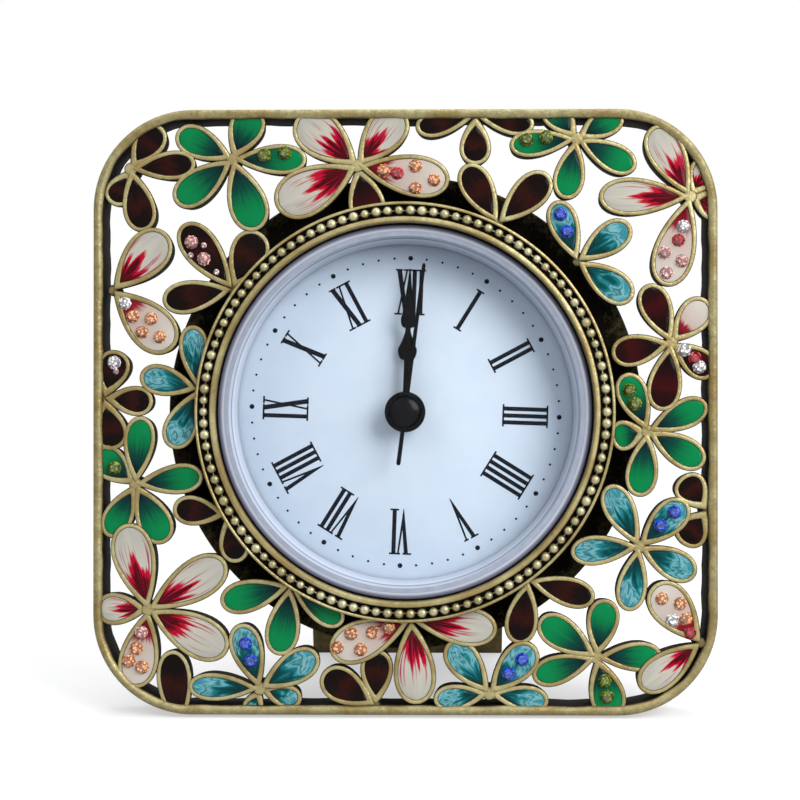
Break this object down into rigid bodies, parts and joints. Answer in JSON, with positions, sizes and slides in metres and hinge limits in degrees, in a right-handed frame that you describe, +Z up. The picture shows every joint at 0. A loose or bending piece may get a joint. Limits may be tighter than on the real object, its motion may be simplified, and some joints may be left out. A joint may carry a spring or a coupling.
{
  "type": "table clock",
  "caption": "Rounded square openwork table clock: enamelled blossoms in a brass rim round a beaded bezel and Roman dial, with a quartz movement and a folding strut.",
  "frame": {"origin": "middle of the flat under the outer rim that the clock stands on", "axes": "+Z up, the dial faces -Y and leans back 8 degrees, +X to the viewer's right"},
  "size_m": [0.1, 0.0431, 0.0965],
  "materials": {
    "antique_brass": "antiqued, pale on the tops and dark in the recesses",
    "dark_brass": "dark patina",
    "bright_brass": "polished",
    "enamel_brown": "dark brown enamel in brass cells",
    "enamel_green": "green enamel in brass cells",
    "enamel_white": "white enamel with red in brass cells",
    "enamel_teal": "marbled teal enamel in brass cells",
    "enamel_red": "dark red enamel in brass cells",
    "clear_lens": "clear, polished",
    "dial_white": "satin with a printed chapter ring",
    "black_gloss": "gloss black",
    "black_plastic": "fine moulded grain",
    "steel": "plain",
    "copper": "lacquered winding wire",
    "board_green": "solder mask"
  },
  "bodies": {
    "frame": {"outer_rim": "antique_brass", "bezel_ring": "antique_brass", "beaded_wire": "bright_brass", "blossom_brown_top_left": "enamel_brown", "blossom_green_top_left": "enamel_green", "blossom_white_top": "enamel_white", "blossom_brown_ring_top_right": "enamel_brown", "blossom_green_top_right": "enamel_green", "blossom_white_top_right": "enamel_white", "blossom_teal_top_right": "enamel_teal", "blossom_red_right": "enamel_red", "blossom_green_right": "enamel_green", "blossom_teal_right": "enamel_teal", "blossom_white_bottom_right": "enamel_white", "blossom_green_bottom_right": "enamel_green", "blossom_brown_ring_bottom_right": "enamel_brown", "blossom_teal_bottom": "enamel_teal", "blossom_white_bottom": "enamel_white", "blossom_teal_bottom_left": "enamel_teal", "blossom_green_ring_bottom_left": "enamel_green", "blossom_white_bottom_left": "enamel_white", "blossom_brown_ring_left": "enamel_brown", "blossom_green_left": "enamel_green", "blossom_teal_ring_left": "enamel_teal", "blossom_white_left": "enamel_white", "blossom_brown_ring_top_left": "enamel_brown", "lens": "clear_lens", "dial": "dial_white", "movement_case": "black_plastic", "case_screw_1": "steel", "case_screw_2": "steel", "case_screw_3": "steel", "main_plate": "bright_brass", "train_bridge": "bright_brass", "stator": "steel", "coil": "copper", "circuit_board": "board_green", "button_cell": "steel", "contact_positive": "bright_brass", "contact_negative": "bright_brass", "back_cover": "black_plastic", "hinge_bracket": "dark_brass", "hinge_pin": "steel"},
    "second": {"second_hand": "black_gloss", "second_wheel": "bright_brass"},
    "third": {"third_wheel": "bright_brass"},
    "centre": {"centre_wheel": "bright_brass"},
    "fifth": {"fifth_wheel": "bright_brass"},
    "rotor": {"rotor": "steel"},
    "minute": {"minute_hand": "black_gloss", "cannon_pinion": "bright_brass"},
    "hour": {"hour_hand": "black_gloss", "hour_wheel": "bright_brass"},
    "motion": {"motion_wheel": "bright_brass"},
    "knob": {"setting_knob": "black_plastic"},
    "hatch": {"battery_hatch": "black_plastic"},
    "strut": {"strut": "dark_brass"}
  },
  "joints": [
    {"name": "second_spin", "type": "hinge", "parent": "frame", "child": "second", "pos_m": [0, 0.01476, 0.04664], "axis": [0, 0.9903, -0.1392], "continuous": true},
    {"name": "third_spin", "type": "hinge", "parent": "frame", "child": "third", "pos_m": [-0.00702, 0.01532, 0.05065], "axis": [0, 0.9903, -0.1392], "continuous": true},
    {"name": "centre_spin", "type": "hinge", "parent": "frame", "child": "centre", "pos_m": [0, 0.01476, 0.04664], "axis": [0, 0.9903, -0.1392], "continuous": true},
    {"name": "fifth_spin", "type": "hinge", "parent": "frame", "child": "fifth", "pos_m": [0.00702, 0.01419, 0.04263], "axis": [0, 0.9903, -0.1392], "continuous": true},
    {"name": "rotor_spin", "type": "hinge", "parent": "frame", "child": "rotor", "pos_m": [0.0132, 0.0137, 0.03909], "axis": [0, 0.9903, -0.1392], "continuous": true},
    {"name": "minute_spin", "type": "hinge", "parent": "frame", "child": "minute", "pos_m": [0, 0.01476, 0.04664], "axis": [0, 0.9903, -0.1392], "continuous": true},
    {"name": "hour_spin", "type": "hinge", "parent": "frame", "child": "hour", "pos_m": [0, 0.01476, 0.04664], "axis": [0, 0.9903, -0.1392], "continuous": true},
    {"name": "motion_spin", "type": "hinge", "parent": "frame", "child": "motion", "pos_m": [0.00509, 0.01547, 0.05168], "axis": [0, 0.9903, -0.1392], "continuous": true},
    {"name": "knob_spin", "type": "hinge", "parent": "frame", "child": "knob", "pos_m": [0.01082, 0.01627, 0.05735], "axis": [0, 0.9903, -0.1392], "continuous": true},
    {"name": "hatch_twist", "type": "hinge", "parent": "frame", "child": "hatch", "pos_m": [-0.00854, 0.0177, 0.06757], "axis": [0, 0.9903, -0.1392], "range_deg": [0, 40]},
    {"name": "strut_fold", "type": "hinge", "parent": "frame", "child": "strut", "pos_m": [0, 0.02522, 0.04163], "axis": [1, 0, 0], "range_deg": [-22, 0]}
  ],
  "couplings": [
    {"joint": "third_spin", "follows": "second_spin", "ratio": -0.13333},
    {"joint": "centre_spin", "follows": "second_spin", "ratio": 0.016667},
    {"joint": "fifth_spin", "follows": "second_spin", "ratio": -4},
    {"joint": "rotor_spin", "follows": "second_spin", "ratio": 30},
    {"joint": "hour_spin", "follows": "minute_spin", "ratio": 0.083333},
    {"joint": "motion_spin", "follows": "minute_spin", "ratio": -0.33333},
    {"joint": "knob_spin", "follows": "minute_spin", "ratio": 0.66667}
  ]
}
